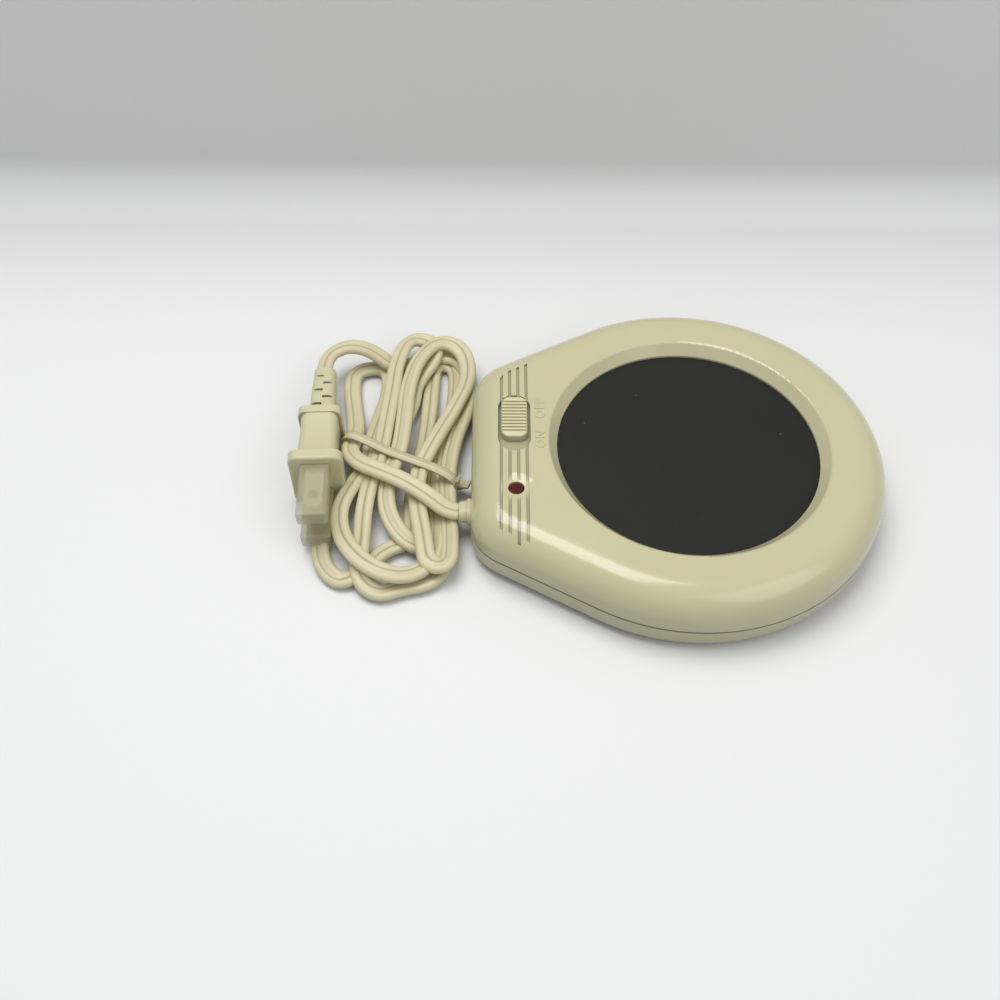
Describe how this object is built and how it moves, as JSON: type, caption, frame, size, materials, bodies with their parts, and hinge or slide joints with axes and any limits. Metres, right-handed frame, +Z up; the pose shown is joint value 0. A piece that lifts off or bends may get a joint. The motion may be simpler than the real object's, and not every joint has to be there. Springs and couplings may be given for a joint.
{
  "type": "candle warmer plate",
  "caption": "Electric candle warmer with a recessed coated hot plate in a rounded plastic housing, a slide switch, a pilot lamp and a two-core cord tied in a hank with its plug.",
  "frame": {"origin": "on the floor, midway along the housing from its flat end to its round end, on its line of symmetry", "axes": "+Z up, +X from the flat switch end to the round end, +Y to the far side seen from the picture's viewpoint, so the cord leaves on the -X face"},
  "size_m": [0.2081, 0.1384, 0.025],
  "materials": {
    "housing": "satin",
    "housing_knob": "satin",
    "plate": "satin",
    "rubber_feet": "matte",
    "steel": "zinc plated",
    "sheet_metal": "mill",
    "mica": "matte",
    "ribbon": "dull",
    "brass": "satin",
    "dark_plastic": "matte",
    "lens": "gloss",
    "sleeve": "matte",
    "lamp_glass": "gloss",
    "resistor": "matte",
    "crimp": "satin",
    "lead_insulation": "satin",
    "cord_vinyl": "satin",
    "plug_vinyl": "satin",
    "blade": "nickel plated",
    "cover": "milky",
    "tie": "satin"
  },
  "bodies": {
    "base": {"top_shell": "housing", "bottom_shell": "housing", "foot_1": "rubber_feet", "foot_2": "rubber_feet", "foot_3": "rubber_feet", "foot_4": "rubber_feet", "case_screws": "steel", "heater_plate": "plate", "plate_stud": "steel", "upper_mica": "mica", "element_card": "mica", "element_ribbon": "ribbon", "lower_mica": "mica", "clamp_plate": "sheet_metal", "spring_washer": "steel", "clamp_nut": "steel", "heat_shield": "sheet_metal", "shield_screws": "steel", "thermal_fuse": "brass", "fuse_clip": "steel", "switch_body": "dark_plastic", "switch_frame": "sheet_metal", "switch_screws": "steel", "switch_tabs": "brass", "lamp_lens": "lens", "lamp_sleeve": "sleeve", "neon_lamp": "lamp_glass", "lamp_leads": "steel", "lamp_resistor": "resistor", "cord_grommet": "cord_vinyl", "cord_inner": "cord_vinyl", "cord_bar": "dark_plastic", "bar_screws": "steel", "crimp_connectors": "crimp", "wire_live": "lead_insulation", "wire_load": "lead_insulation", "wire_fuse": "lead_insulation", "fuse_lead": "lead_insulation", "wire_return": "lead_insulation", "wire_element": "lead_insulation", "cord_lead": "cord_vinyl", "cord_hank": "cord_vinyl", "cord_tail": "cord_vinyl", "plug_body": "plug_vinyl", "plug_relief": "plug_vinyl", "blade_upper": "blade", "blade_lower": "blade", "twist_tie": "tie"},
    "knob": {"switch_knob": "housing_knob", "switch_slider": "dark_plastic", "slide_contact": "brass"},
    "cap_upper": {"cover_upper": "cover"},
    "cap_lower": {"cover_lower": "cover"}
  },
  "joints": [
    {"name": "knob_slide", "type": "slide", "parent": "base", "child": "knob", "axis": [0, -1, 0], "range_m": [0, 0.0045]},
    {"name": "cap_upper_slide", "type": "slide", "parent": "base", "child": "cap_upper", "axis": [0.0454, -0.999, 0], "range_m": [0, 0.022]},
    {"name": "cap_lower_slide", "type": "slide", "parent": "base", "child": "cap_lower", "axis": [0.0454, -0.999, 0], "range_m": [0, 0.022]}
  ]
}
